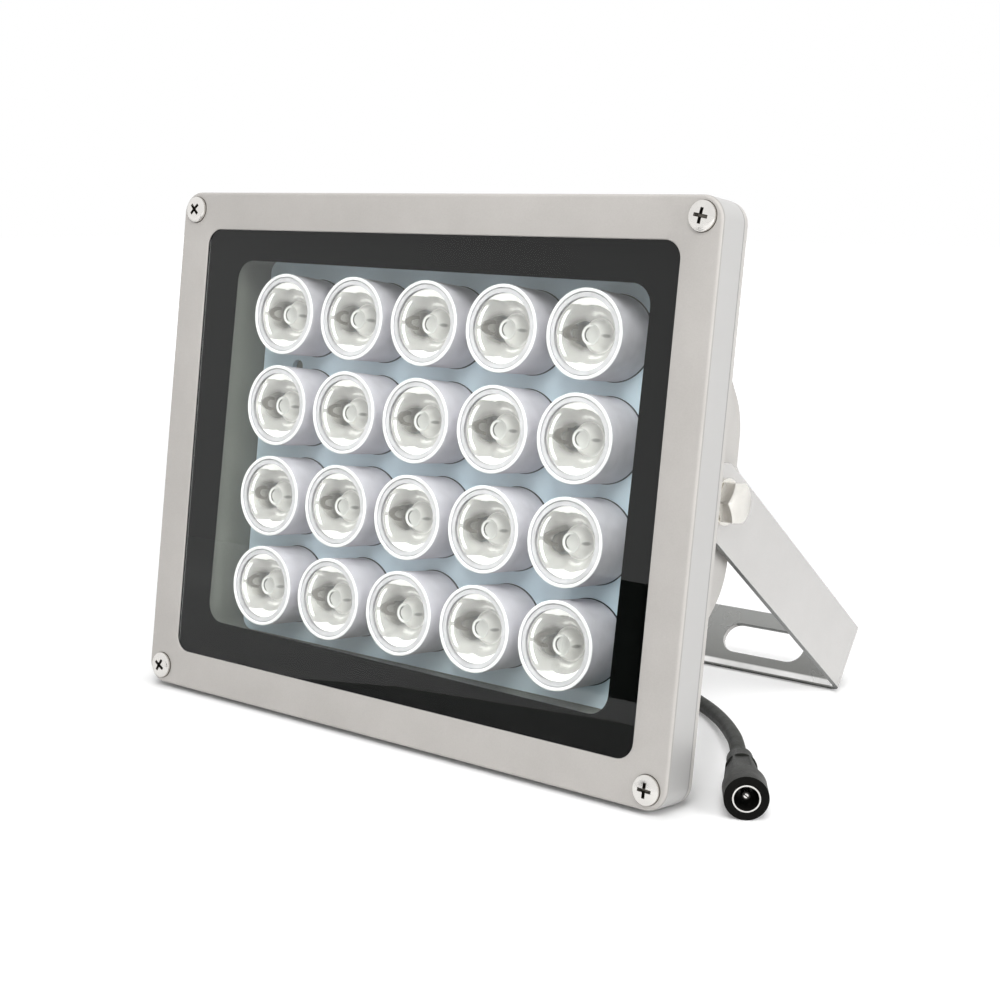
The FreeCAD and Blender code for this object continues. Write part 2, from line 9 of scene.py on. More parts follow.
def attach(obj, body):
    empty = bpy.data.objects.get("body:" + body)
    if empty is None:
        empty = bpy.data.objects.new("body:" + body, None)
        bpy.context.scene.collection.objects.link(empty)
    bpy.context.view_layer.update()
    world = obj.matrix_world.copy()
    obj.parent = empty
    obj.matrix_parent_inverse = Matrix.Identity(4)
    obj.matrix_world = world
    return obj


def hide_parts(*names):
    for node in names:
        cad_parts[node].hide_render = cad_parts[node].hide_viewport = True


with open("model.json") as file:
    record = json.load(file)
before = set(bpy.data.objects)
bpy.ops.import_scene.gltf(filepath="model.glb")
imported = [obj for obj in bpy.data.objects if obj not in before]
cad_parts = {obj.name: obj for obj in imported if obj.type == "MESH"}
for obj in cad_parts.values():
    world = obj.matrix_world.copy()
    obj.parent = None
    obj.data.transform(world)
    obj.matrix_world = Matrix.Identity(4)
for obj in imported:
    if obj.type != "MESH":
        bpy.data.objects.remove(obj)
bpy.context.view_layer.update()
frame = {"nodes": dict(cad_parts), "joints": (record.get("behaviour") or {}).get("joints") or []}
scene = bpy.context.scene
scene.view_settings.view_transform = "Standard"
mm = 0.001


def putObject(name, data):
    made = bpy.data.objects.new(name, data)
    scene.collection.objects.link(made)
    return made


def toMesh(name, shape):
    mesh = bpy.data.meshes.new(name)
    shape.to_mesh(mesh)
    shape.free()
    return mesh


# where the photograph's camera stood, in metres, with its axes as unit vectors
cameraSet = {
    "lens": 60.17,
    "sensor": 36.0,
    "place": (0.28277, -0.375893, 0.142301),
    "right": (0.7891, 0.6142, 0.0030),
    "up": (-0.1136, 0.1411, 0.9835),
    "back": (0.6036, -0.7764, 0.1812),
}


def makeCamera(values):
    data = bpy.data.cameras.new("camera")
    data.lens = values["lens"]
    data.sensor_width = values["sensor"]
    data.clip_start = 0.01
    camera = putObject("camera", data)
    turn = Matrix((values["right"], values["up"], values["back"])).transposed().to_4x4()
    camera.matrix_world = Matrix.Translation(values["place"]) @ turn
    scene.camera = camera


makeCamera(cameraSet)
print("camera placed")

# headPlace turns millimetres from the middle of the frame's face into the leaning head's place in metres
stance = {"lean": 8.2, "pivotDepth": 39.5}
pivot = Vector(frame["joints"][0]["pos_m"])
headPlace = (Matrix.Translation(pivot) @ Matrix.Rotation(math.radians(-stance["lean"]), 4, "X")
             @ Matrix.Translation((0, -stance["pivotDepth"] * mm, 0)) @ Matrix.Scale(mm, 4))


class Wire:
    def __init__(self, finish, socket):
        self.finish = finish
        self.socket = socket

    def maths(self, operation, first, second=0.0):
        return self.finish.node("ShaderNodeMath", {"operation": operation}, {0: first, 1: second})

    def __add__(self, other):
        return self.maths("ADD", self, other)

    def __radd__(self, other):
        return self.maths("ADD", other, self)

    def __sub__(self, other):
        return self.maths("SUBTRACT", self, other)

    def __rsub__(self, other):
        return self.maths("SUBTRACT", other, self)

    def __mul__(self, other):
        return self.maths("MULTIPLY", self, other)

    def __rmul__(self, other):
        return self.maths("MULTIPLY", other, self)

    def __pow__(self, other):
        return self.maths("POWER", self, other)

    def size(self):
        return self.maths("ABSOLUTE", self)

    def above(self, level):
        return self.maths("GREATER_THAN", self, level)

    def larger(self, other):
        return self.maths("MAXIMUM", self, other)


class Finish:
    def __init__(self, name, **constants):
        self.material = bpy.data.materials.new(name)
        self.material.use_nodes = True
        self.tree = self.material.node_tree
        self.shader = self.tree.nodes["Principled BSDF"]
        self.output = self.tree.nodes["Material Output"]
        for socket, value in constants.items():
            self.shader.inputs[socket.replace("_", " ")].default_value = value

    def raw(self, kind, settings, values):
        made = self.tree.nodes.new(kind)
        for setting, value in settings.items():
            setattr(made, setting, value)
        for socket, value in values.items():
            if isinstance(value, Wire):
                self.tree.links.new(value.socket, made.inputs[socket])
            else:
                made.inputs[socket].default_value = value
        return made

    def node(self, kind, settings, values, out=0):
        return Wire(self, self.raw(kind, settings, values).outputs[out])

    def place(self):
        return self.node("ShaderNodeTexCoord", {}, {}, "Object")

    def noise(self, scale, detail=3.0, rough=0.55):
        return self.node("ShaderNodeTexNoise", {}, {"Vector": self.place(), "Scale": scale,
                                                    "Detail": detail, "Roughness": rough}, "Fac")

    def along(self, direction, through):  # millimetres along a direction from a point
        reach = self.node("ShaderNodeVectorMath", {"operation": "DOT_PRODUCT"},
                          {0: self.place(), 1: tuple(direction)}, "Value")
        return reach * 1000.0 - direction.dot(through) * 1000.0

    def spread(self, value, low, high, start=0.0, end=1.0):
        return self.node("ShaderNodeMapRange", {"clamp": True},
                         {"Value": value, "From Min": low, "From Max": high, "To Min": start, "To Max": end})

    def blend(self, share, first, second):
        return self.node("ShaderNodeMix", {"data_type": "RGBA"},
                         {0: share, 6: self.paint(first), 7: self.paint(second)}, 2)

    def paint(self, colour):
        return colour if isinstance(colour, Wire) else (*colour, 1.0)

    def set(self, socket, value):
        self.tree.links.new(value.socket, self.shader.inputs[socket])

    def bump(self, height, strength, distance):
        self.set("Normal", self.node("ShaderNodeBump", {}, {"Height": height, "Strength": strength,
                                                            "Distance": distance}))


def satinPaint(name, dark, light, metallic, roughness, peel):
    finish = Finish(name, Metallic=metallic, Coat_Weight=0.12, Coat_Roughness=0.3)
    cloud = finish.noise(34.0, 4.0, 0.6)
    fleck = finish.noise(2600.0, 1.0)
    tone = finish.spread(cloud * 0.75 + fleck * 0.25, 0.32, 0.68)
    finish.set("Base Color", finish.blend(tone, dark, light))
    finish.set("Roughness", finish.spread(cloud, 0.3, 0.7, roughness - 0.05, roughness + 0.07))
    finish.bump(finish.noise(720.0, 2.0, 0.6), peel, 0.0004)
    return finish


def plainPlastic(name, colour, roughness, grain, **constants):
    finish = Finish(name, **constants)
    patch = finish.noise(260.0, 4.0)
    finish.set("Base Color", finish.blend(finish.spread(patch, 0.3, 0.7), [part * 0.9 for part in colour],
                                          [part * 1.06 for part in colour]))
    finish.set("Roughness", finish.spread(patch, 0.3, 0.7, roughness - 0.05, roughness + 0.06))
    finish.bump(finish.noise(1900.0, 2.0), grain, 0.0002)
    return finish


def turnedMetal(name, colour, roughness, lines):
    finish = Finish(name, Metallic=1.0)
    brushed = finish.noise(300.0, 2.0, 0.5)
    tone = finish.spread(brushed, 0.3, 0.7)
    finish.set("Base Color", finish.blend(tone, [part * 0.93 for part in colour], colour))
    finish.set("Roughness", finish.spread(brushed, 0.3, 0.7, roughness - 0.03, roughness + 0.03))
    if lines:
        finish.bump(brushed, lines, 0.0002)
    return finish


def makeFramePaint(v):
    finish = satinPaint("framePaint", v["dark"], v["light"], 0.25, 0.38, 0.10)
    tone = finish.shader.inputs["Base Color"].links[0].from_socket
    depth = finish.along(headAxis, headFace)
    # the faces behind the front get a tone of their own: painted light, for how the light falls on them
    side = finish.spread(depth, 0.5, 1.0)
    body = finish.blend(side, Wire(finish, tone), v["side"])
    # dark lines painted at set depths: painted shade in the crease behind the face, and a painted dark line
    # where the casting meets the back case
    for place, half, share in v["lines"]:
        creaseShade = finish.spread((depth - place).size(), half, half * 2.0, share, 0.0)
        body = finish.blend(creaseShade, body, v["line"])
    finish.set("Base Color", body)
    return finish


# the casting's side, painted a tone of its own for how the light falls on it, and the dark lines at both ends
# of it: painted shade in the crease behind the face, and a painted dark line where the casting meets the back
# case; depth, half width, strength
headAxis = (headPlace.to_3x3() @ Vector((0, 1, 0))).normalized()
headFace = headPlace @ Vector((0, 0, 0))
framePaintSet = {
    "dark": (0.463, 0.443, 0.42), "light": (0.54, 0.518, 0.493), "side": (0.475, 0.47, 0.462),
    "line": (0.16, 0.155, 0.15), "lines": [(0.62, 0.11, 0.4), (9.65, 0.15, 0.55)],
}
framePaint = makeFramePaint(framePaintSet)
housingPaint = satinPaint("housingPaint", (0.47, 0.455, 0.435), (0.54, 0.525, 0.505), 0.2, 0.46, 0.16)
# the chamber's inside: the housing's grey painted far darker, as painted shade in the recess
chamberShade = satinPaint("chamberShade", (0.13, 0.145, 0.125), (0.17, 0.185, 0.16), 0.3, 0.42, 0.2)
bracketPaint = satinPaint("bracketPaint", (0.60, 0.59, 0.575), (0.66, 0.65, 0.635), 0.7, 0.2, 0.03)
sealRubber = plainPlastic("sealRubber", (0.02, 0.02, 0.021), 0.6, 0.2)
printBlack = plainPlastic("printBlack", (0.0035, 0.004, 0.0037), 0.6, 0.0, Specular_IOR_Level=0.0)
holderPlastic = plainPlastic("holderPlastic", (0.55, 0.535, 0.58), 0.42, 0.04)
# black for each holder's lifted foot: painted shade where it meets the board
holderFootShade = plainPlastic("holderFootShade", (0.012, 0.013, 0.014), 0.7, 0.0)
# the cone inside each holder, the holder's plastic painted near white as painted light
holderConeLight = plainPlastic("holderConeLight", (0.90, 0.89, 0.87), 0.4, 0.0)
# the rim's front: the holder's plastic painted brighter as a painted highlight
holderRimHighlight = plainPlastic("holderRimHighlight", (0.93, 0.93, 0.94), 0.3, 0.0)
chipBody = plainPlastic("chipBody", (0.20, 0.185, 0.16), 0.4, 0.1)
chipDie = plainPlastic("chipDie", (0.05, 0.05, 0.042), 0.35, 0.1)
driverGreen = plainPlastic("driverGreen", (0.03, 0.12, 0.06), 0.5, 0.2)
nylonBlack = plainPlastic("nylonBlack", (0.02, 0.02, 0.02), 0.45, 0.3)
cordRubber = plainPlastic("cordRubber", (0.0105, 0.0118, 0.0085), 0.5, 0.35, Specular_IOR_Level=0.3)
plugRubber = plainPlastic("plugRubber", (0.012, 0.013, 0.0105), 0.45, 0.5, Specular_IOR_Level=0.33)
# the plug's black face, also used to paint the bore and the sleeve's insides dark as painted shade
plugFaceAndShade = plainPlastic("plugFaceAndShade", (0.0055, 0.0055, 0.005), 0.6, 0.8, Specular_IOR_Level=0.06)
screwSteel = turnedMetal("screwSteel", (0.80, 0.78, 0.75), 0.22, 0.06)
# dark steel for the cross recess and the head's foot: painted shade
screwShade = turnedMetal("screwShade", (0.13, 0.12, 0.105), 0.4, 0.0)
boltSteel = turnedMetal("boltSteel", (0.88, 0.86, 0.81), 0.24, 0.0)
contactNickel = turnedMetal("contactNickel", (0.82, 0.81, 0.78), 0.2, 0.05)


def makeBoardFace():
    finish = Finish("boardFace", Roughness=0.42, Coat_Weight=0.2)
    cloud = finish.noise(38.0, 4.0, 0.6)
    tone = finish.spread(cloud, 0.3, 0.7)
    body = finish.blend(tone, (0.60, 0.74, 0.84), (0.70, 0.83, 0.91))
    speck = finish.noise(820.0, 2.0).above(0.73)
    finish.set("Base Color", finish.blend(speck, body, (0.75, 0.82, 0.86)))
    finish.set("Roughness", finish.spread(cloud, 0.3, 0.7, 0.36, 0.52))
    finish.bump(finish.noise(900.0, 2.0), 0.08, 0.0002)
    return finish


# clear to shadow rays, so that what lies behind it is lit
def makeClear(name, tint, index, roughness, gleam):
    finish = Finish(name, Roughness=roughness, IOR=index, Transmission_Weight=1.0,
                    Specular_Tint=(gleam, gleam, gleam, 1.0))
    smear = finish.noise(60.0, 3.0)
    finish.set("Base Color", finish.blend(smear, tint, [min(1.0, part * 1.01) for part in tint]))
    path = finish.raw("ShaderNodeLightPath", {}, {})
    clear = finish.raw("ShaderNodeBsdfTransparent", {}, {"Color": (*tint, 1.0)})
    mix = finish.raw("ShaderNodeMixShader", {}, {})
    finish.tree.links.new(path.outputs["Is Shadow Ray"], mix.inputs[0])
    finish.tree.links.new(finish.shader.outputs[0], mix.inputs[1])
    finish.tree.links.new(clear.outputs[0], mix.inputs[2])
    finish.tree.links.new(mix.outputs[0], finish.output.inputs["Surface"])
    return finish


# the socket at the cord's end, from the neck where the cord enters, in millimetres
plugSet = {"neck": (88.55, -29.764, 5.3), "along": (0.5471, -0.8371, 0.0), "length": 27.0, "boreFrom": 12.0,
           "bore": 3.1, "pin": 0.62, "split": 0.13}
plugNeck = Vector(plugSet["neck"]) * mm
plugAxis = Vector(plugSet["along"])


def makePinMetal(v):
    finish = Finish("pinMetal", Metallic=0.6)
    across, up = plugAxis.cross(Vector((0, 0, 1))), Vector((0, 0, 1))
    offX, offZ = finish.along(across, plugNeck), finish.along(up, plugNeck)
    bend = finish.noise(700.0, 2.0) * 0.3 - 0.15
    # the pin's split is painted as a dark line: painted shade in the slot
    splitShade = finish.spread(((offX - offZ) * 0.707 + bend).size(), v["split"] * 0.7, v["split"] * 1.4)
    tip = finish.spread((offX * offX + offZ * offZ) ** 0.5, v["pin"] * 0.8, v["pin"], 1.0, 0.0)
    finish.set("Base Color", finish.blend(splitShade * tip, (0.02, 0.018, 0.016), (0.92, 0.90, 0.87)))
    finish.set("Roughness", finish.spread(bend, -0.1, 0.1, 0.2, 0.35))
    return finish


pinMetal = makePinMetal(plugSet)
# the bracket's inner faces: the base's inner face painted dark as painted shade, with a bright strip along its
# foot as a painted reflection that also glows, and the cut edges that face down, painted dark as painted shade
bracketSet = {
    "drop": 37.3991, "reach": 90.0, "width": 19.6, "dark": (0.33, 0.335, 0.325), "light": (0.37, 0.375, 0.365),
    "strip": (0.97, 0.97, 0.96), "glow": (0.28, 0.28, 0.28), "stripFrom": 0.35, "stripWide": 1.5,
}
bracketTurn = Matrix.Rotation(math.radians(-bracketSet["drop"]), 3, "X")
bracketAxis, bracketUp = bracketTurn @ Vector((0, 1, 0)), bracketTurn @ Vector((0, 0, 1))


def makeBaseShadeAndReflection(v):
    # the base's inner face is painted dark grey as painted shade
    finish = satinPaint("baseShadeAndReflection", v["dark"], v["light"], 0.7, 0.25, 0.03)
    tone = Wire(finish, finish.shader.inputs["Base Color"].links[0].from_socket)
    up = finish.along(bracketUp, pivot) + (v["width"] / 2 - v["stripFrom"])
    # a strip along the foot painted nearly white: a painted reflection of the floor
    strip = finish.spread(up, 0.0, 0.2) * finish.spread(up, v["stripWide"], v["stripWide"] + 0.5, 1.0, 0.0)
    strip = strip * finish.spread(finish.noise(60.0, 3.0), 0.35, 0.6, 0.7, 1.0)
    finish.set("Base Color", finish.blend(strip, tone, v["strip"]))
    # the strip also glows: painted light
    finish.set("Emission Color", finish.blend(strip, (0, 0, 0), v["glow"]))
    finish.shader.inputs["Emission Strength"].default_value = 1.0
    return finish


def bracketPart(face):
    reach = (face.calc_center_median() - pivot).dot(bracketAxis)
    # the base's inner face gets the painted shade and painted reflection
    if face.normal.dot(bracketAxis) < -0.9 and reach > bracketSet["reach"] * mm:
        return 1
    # faces pointing down are painted dark as painted shade
    return 2 if face.normal.dot(bracketUp) < -0.9 else 0


baseShadeAndReflection = makeBaseShadeAndReflection(bracketSet)
# the dark for the downward cut edges is painted shade
edgeShade = satinPaint("edgeShade", (0.17, 0.175, 0.17), (0.21, 0.215, 0.21), 0.5, 0.3, 0.05)


def plugPart(face):
    away = (face.calc_center_median() - plugNeck) / mm
    reach = away.dot(plugAxis)
    inBore = reach > plugSet["boreFrom"] and (away - reach * plugAxis).length < plugSet["bore"]
    # the end face and the inside of the bore take the dark finish; in the bore it is painted shade
    return int(reach > plugSet["length"] - 0.2 or inBore)


def sleevePart(face):
    # all of the sleeve but its front ring is painted black as painted shade
    return int(face.normal.dot(plugAxis) < 0.9)


boardFace = makeBoardFace()
glassClear = makeClear("glassClear", (0.972, 0.984, 0.97), 1.5, 0.0, 0.75)
lensClear = makeClear("lensClear", (0.985, 0.985, 0.975), 1.49, 0.06, 1.0)
lensFront = makeClear("lensFront", (0.985, 0.985, 0.975), 1.49, 0.0, 1.0)
lensFlange = plainPlastic("lensFlange", (0.62, 0.61, 0.635), 0.35, 0.0, Coat_Weight=0.3)
uvUnit = 10.0  # millimetres across a lens for one unit of its UV map


def lensPlace(finish):
    coords = finish.node("ShaderNodeTexCoord", {}, {}, "UV")
    across = finish.raw("ShaderNodeSeparateXYZ", {}, {"Vector": coords})
    x, z = [Wire(finish, across.outputs[part]) * uvUnit for part in (0, 1)]
    return x, z, (x * x + z * z) ** 0.5


# the pocket is painted with what the lens shows: a darker ceiling, a pale wall, bright rings as painted
# highlights, a dark arc, and a dark spot as a painted reflection of the die; rings and spots are given as their
# reach from the lens's middle and their half width
pocketSet = {
    "ceiling": (0.64, 0.635, 0.625), "wall": (0.92, 0.915, 0.90), "bright": (0.95, 0.95, 0.94),
    "line": (0.05, 0.05, 0.045), "ceilingEdge": (2.5, 2.7), "rings": [(2.25, 0.15), (3.0, 0.12)],
    "lineRing": (1.75, 0.13), "spot": (3.25, 0.3), "ringFade": (-0.2, 0.6), "lineFade": (-1.2, -0.4),
}


def makePocket(v):
    finish = Finish("lensPocket", Roughness=0.35)
    x, z, reach = lensPlace(finish)
    wobble = finish.noise(900.0, 2.0) * 0.3

    def ring(place, half):
        return finish.spread((reach - place).size(), half, half * 1.6, 1.0, 0.0)

    tone = finish.blend(finish.spread(reach, *v["ceilingEdge"]), v["ceiling"], v["wall"])
    # bright rings on the left side: painted highlights
    for place, half in v["rings"]:
        tone = finish.blend(ring(place, half) * finish.spread(x, *v["ringFade"], 1.0, 0.15), tone, v["bright"])
    # a dark arc painted on the left
    place, half = v["lineRing"]
    tone = finish.blend(ring(place, half) * finish.spread(x, *v["lineFade"], 1.0, 0.0), tone, v["line"])
    # a dark spot: the die's painted reflection
    place, half = v["spot"]
    beside = x - place
    spot = finish.spread((beside * beside + z * z) ** 0.5 + wobble * 0.4, half, half * 2.2, 0.6, 0.0)
    tone = finish.blend(spot, tone, v["line"])
    finish.set("Base Color", tone)
    finish.set("Roughness", finish.spread(wobble, 0.1, 0.2, 0.3, 0.4))
    return finish


lensPocket = makePocket(pocketSet)
# a lens's wall, painted with what the lens shows: a white crescent, a thin arc and a glow inside it as painted
# highlights that glow, a pale veil as a painted reflection, and a dark zone with a small image of the die as
# painted shade
bowlSet = {
    "white": (0.95, 0.95, 0.94), "gleam": (0.55, 0.55, 0.54), "dark": (0.13, 0.118, 0.105),
    "paleReflection": (0.76, 0.752, 0.745), "paleReflectionGlow": (0.15, 0.146, 0.144), "veil": 0.4,
    "inner": 7.1, "taper": 1.9, "rightShare": 0.9, "thin": (8.35, 0.15), "glow": (5.4, 0.5),
    "shadow": (8.0, 5.4), "shadowHalf": 4.8, "shadowShare": 0.62, "paintedDieImage": (-6.0, 0.2, 1.5, 0.3),
    "innerLeft": (2.2, 6.0), "innerRight": (3.0, 8.0), "thinEnds": (5.2, 6.4), "thinStart": (-6.0, -5.0),
    "thinBreak": (0.3, 0.6), "glowSides": (1.2, 4.0), "shadowStart": (2.0, 4.2), "markOpen": (0.2, 0.9),
}


def makeBowl(v):
    finish = makeClear("lensBowl", (0.985, 0.985, 0.975), 1.49, 0.05, 1.0)
    clear = [node for node in finish.tree.nodes if node.type == "MIX_SHADER"][0]
    x, z, reach = lensPlace(finish)
    wave = finish.noise(420.0, 3.0) - 0.5
    inner = finish.spread(x * -1.0, *v["innerLeft"], v["inner"], v["inner"] + v["taper"]) + wave * 0.55
    inner = inner + finish.spread(x, *v["innerRight"], 0.0, v["rightShare"])
    # the white crescent, the thin arc and the glow are painted highlights
    crescent = finish.spread(reach - inner, 0.0, 0.3)
    place, half = v["thin"]
    thin = finish.spread((reach - place + wave * 0.1).size(), half, half * 1.8, 1.0, 0.0)
    thin = thin * finish.spread(z.size(), *v["thinEnds"], 1.0, 0.0)
    thin = thin * finish.spread(x, *v["thinStart"], 1.0, 0.0) * finish.spread(z.size(), *v["thinBreak"])
    place, half = v["glow"]
    glow = finish.spread((reach - place + wave).size(), half * 0.3, half * 2.0, 0.7, 0.0)
    glow = glow * finish.spread(x.size(), *v["glowSides"], 1.0, 0.0)
    bright = crescent.larger(thin.larger(glow))
    # the dark zone is painted shade
    outer, deep = v["shadow"]
    level = finish.spread(z.size(), v["shadowHalf"] * 0.55, v["shadowHalf"], 1.0, 0.0)
    shade = finish.spread(reach, deep, outer, 1.0, 0.0) * level
    shade = shade * finish.spread(x * -1.0, *v["shadowStart"]) * v["shadowShare"]
    centreX, centreZ, markReach, markHalf = v["paintedDieImage"]
    offX, offZ = x - centreX, z - centreZ
    markRing = ((offX * offX + offZ * offZ) ** 0.5 - markReach + wave * 0.5).size()
    paintedDieImage = finish.spread(markRing, markHalf, markHalf * 2.2, 0.85, 0.0)
    paintedDieImage = paintedDieImage * finish.spread(offX, *v["markOpen"], 1.0, 0.0)
    shade = shade.larger(paintedDieImage)
    deepest = finish.spread(shade, 0.0, 0.35)
    # a pale veil over the rest stands for the light the lens reflects: a painted reflection
    colour = finish.blend(bright, finish.blend(deepest, v["paleReflection"], v["dark"]), v["white"])
    # the bright parts and the veil also glow: painted light
    gleam = finish.blend(bright, finish.blend(deepest, v["paleReflectionGlow"], (0, 0, 0)), v["gleam"])
    painted = finish.raw("ShaderNodeBsdfPrincipled", {}, {"Roughness": 0.35, "Base Color": colour,
                                                          "Emission Color": gleam, "Emission Strength": 1.0})
    body = finish.raw("ShaderNodeMixShader", {}, {0: bright.larger(shade).larger(v["veil"])})
    finish.tree.links.new(finish.shader.outputs[0], body.inputs[1])
    finish.tree.links.new(painted.outputs[0], body.inputs[2])
    finish.tree.links.new(body.outputs[0], clear.inputs[1])
    return finish


lensBowl = makeBowl(bowlSet)
print("finishes written")


def showPiece(name, mesh, finishes, body, replaced, smooth=35.0):
    for finish in finishes:
        mesh.materials.append(finish.material)
    mesh.polygons.foreach_set("use_smooth", [True] * len(mesh.polygons))
    mesh.set_sharp_from_angle(angle=math.radians(smooth))
    piece = putObject(name, mesh)
    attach(piece, body)
    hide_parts(*replaced)
    return piece


weld = 1e-4  # millimetres within which two points become one


def meshFrom(name, shape, place):
    bmesh.ops.remove_doubles(shape, verts=shape.verts, dist=weld)
    bmesh.ops.recalc_face_normals(shape, faces=shape.faces)
    bmesh.ops.transform(shape, matrix=place, verts=shape.verts)
    return toMesh(name, shape)


copySet = {"weld": 1e-6, "flat": 0.5, "bevelFrom": 32}


# a carried node's shape with softened edges; inner holds more finishes and a test that picks one for a face
def softCopy(name, node, finish, body, edge, segments=2, inner=None, lift=0.0):
    source = frame["nodes"][node]
    shape = bmesh.new()
    shape.from_mesh(source.data)
    bmesh.ops.remove_doubles(shape, verts=shape.verts, dist=copySet["weld"])
    bmesh.ops.dissolve_limit(shape, angle_limit=math.radians(copySet["flat"]), verts=shape.verts,
                             edges=shape.edges, use_dissolve_boundaries=False)
    bmesh.ops.recalc_face_normals(shape, faces=shape.faces)
    finishes = [finish] + (inner[0] if inner else [])
    if lift:
        bmesh.ops.translate(shape, vec=headPlace.to_3x3() @ Vector((0, -lift, 0)), verts=shape.verts)
    if inner:
        for face in shape.faces:
            face.material_index = inner[1](face)
    piece = showPiece(name, toMesh(name, shape), finishes, body, (node,))
    if edge:
        bevel = piece.modifiers.new("edges", "BEVEL")
        bevel.width = edge
        bevel.segments = segments
        bevel.limit_method = "ANGLE"
        bevel.angle_limit = math.radians(copySet["bevelFrom"])
        bevel.harden_normals = True
    return piece


def spun(profile, steps):
    shape = bmesh.new()
    points = [shape.verts.new((radius, depth, 0.0)) for radius, depth in profile]
    edges = [shape.edges.new(pair) for pair in zip(points, points[1:])]
    bmesh.ops.spin(shape, geom=points + edges, cent=(0, 0, 0), axis=(0, 1, 0), angle=math.tau, steps=steps,
                   use_merge=True)
    bmesh.ops.remove_doubles(shape, verts=shape.verts, dist=weld)
    return shape


# the cord's line through the same points as the modelled cord, in millimetres; length and exit in metres
cordSet = {
    "route": [(0, -9.02, 44.931), (0, 3.847, 43.077), (0.3, 16.936, 35.5), (2.0, 23.436, 23.0),
              (7.5, 24.436, 11.0), (18.0, 24.436, 3.9), (36.5, 21.536, 2.2), (52.5, 12.636, 2.15),
              (65.7, 0.936, 3.1), (77.6, -13.564, 4.7), (82.532, -20.556, 5.3), (88.55, -29.764, 5.3)],
    "diameter": 4.0,
    "length": 0.1598,
    "exit": (0.0, -0.002586, 0.044004),
}


def makeCord(values):
    data = bpy.data.curves.new("supply_cord", "CURVE")
    data.dimensions = "3D"
    data.resolution_u = 16
    data.bevel_depth = values["diameter"] / 2 * mm
    data.bevel_resolution = 6
    data.use_fill_caps = True
    spline = data.splines.new("NURBS")
    spline.points.add(len(values["route"]) - 1)
    for point, place in zip(spline.points, values["route"]):
        point.co = (*[part * mm for part in place], 1.0)
    spline.order_u = 3
    spline.use_endpoint_u = True
    data.materials.append(cordRubber.material)
    cord = putObject("supply_cord", data)
    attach(cord, "head")
    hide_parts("cord")
    return cord


cord = makeCord(cordSet)
print("cord laid")

carried = {
    "front_gasket": sealRubber, "rear_gasket": sealRubber, "cover_glass": glassClear,
    "led_board": boardFace, "driver_board": driverGreen,
}
for node, finish in carried.items():
    for place in frame["nodes"][node].material_slots:
        place.material = finish.material

softCopy("bezel", "front_frame", framePaint, "head", 0.25 * mm, 3)
softCopy("border_print", "glass_border", printBlack, "head", 0.0, lift=0.14)
# the open chamber behind the glass, painted much darker than the outside as painted shade
chamberSet = {"halfWidth": 72.5, "halfHeight": 55.0, "front": 5.0, "back": 24.5}


def inChamber(place):
    v = chamberSet
    beside = abs(place.x) < v["halfWidth"] and abs(place.z) < v["halfHeight"]
    return beside and v["front"] < place.y < v["back"]


def chamberPart(face):
    back = headPlace.inverted()
    return int(all(inChamber(back @ vert.co) for vert in face.verts))


softCopy("back_case", "rear_housing", housingPaint, "head", 0.0,
         inner=([chamberShade], chamberPart))
softCopy("mounting_bracket", "bracket", bracketPaint, "bracket", 0.6 * mm, 4,
         inner=([baseShadeAndReflection, edgeShade], bracketPart))
softCopy("hex_bolts", "pivot_bolts", boltSteel, "head", 0.3 * mm, 3)
softCopy("flat_washers", "pivot_washers", boltSteel, "head", 0.12 * mm)
softCopy("gland_body", "cable_gland", nylonBlack, "head", 0.2 * mm)
softCopy("gland_cap", "gland_nut", nylonBlack, "head", 0.2 * mm)
plugCopy = softCopy("socket_grip", "plug_body", plugRubber, "head", 0.3 * mm,
                    inner=([plugFaceAndShade], plugPart))
sleeveCopy = softCopy("contact_sleeve", "socket_sleeve", contactNickel, "head", 0.0,
                      inner=([plugFaceAndShade], sleevePart))
pinCopy = softCopy("split_pin", "socket_pin", pinMetal, "head", 0.2 * mm)
print("carried pieces finished")

# one holder and one lens for each LED, in millimetres; each front is a depth behind the frame's face
unitSet = {
    "columns": 5, "rows": 4, "pitch": 25.4, "steps": 64,
    "rimFront": 6.9, "rimRadius": 11.15, "rimWall": 0.9, "gapHeight": 0.5, "footReach": 0.2,
    "seatDepth": 1.9, "seatRadius": 9.11,
    "baseFront": 21.4, "baseRadius": 10.85, "holeRadius": 4.6, "edge": 0.22,
}
lensSet = {
    "setback": 0.3, "flangeRadius": 10.15, "flangeEdge": 0.15, "bowlRadius": 8.95, "wallRadius": 8.86,
    "baseRadius": 4.4, "length": 11.0, "pocketMouth": 3.9, "pocketRadius": 2.6, "pocketDepth": 6.4,
    "pocketCrown": 0.9, "curveSteps": 12,
}
hair = 0.01  # how near a face lies to a plane that it belongs to


def holderProfile(v):
    edge = v["edge"]
    front, back, seat = v["rimFront"], v["baseFront"], v["rimFront"] + v["seatDepth"]
    inner = v["rimRadius"] - v["rimWall"]
    quarter = [math.radians(part) for part in (0, 30, 60, 90)]
    outer = v["rimRadius"] - edge
    outerEdge = [(outer + edge * math.sin(a), front + edge - edge * math.cos(a)) for a in quarter]
    innerEdge = [(inner + edge - edge * math.cos(a), front + edge - edge * math.sin(a)) for a in quarter]
    lifted, foot = back - v["gapHeight"], v["baseRadius"] + v["footReach"]
    return innerEdge + outerEdge + [(v["baseRadius"], lifted), (foot, back), (v["holeRadius"], back),
                                    (v["seatRadius"], seat), (inner, seat), innerEdge[0]]


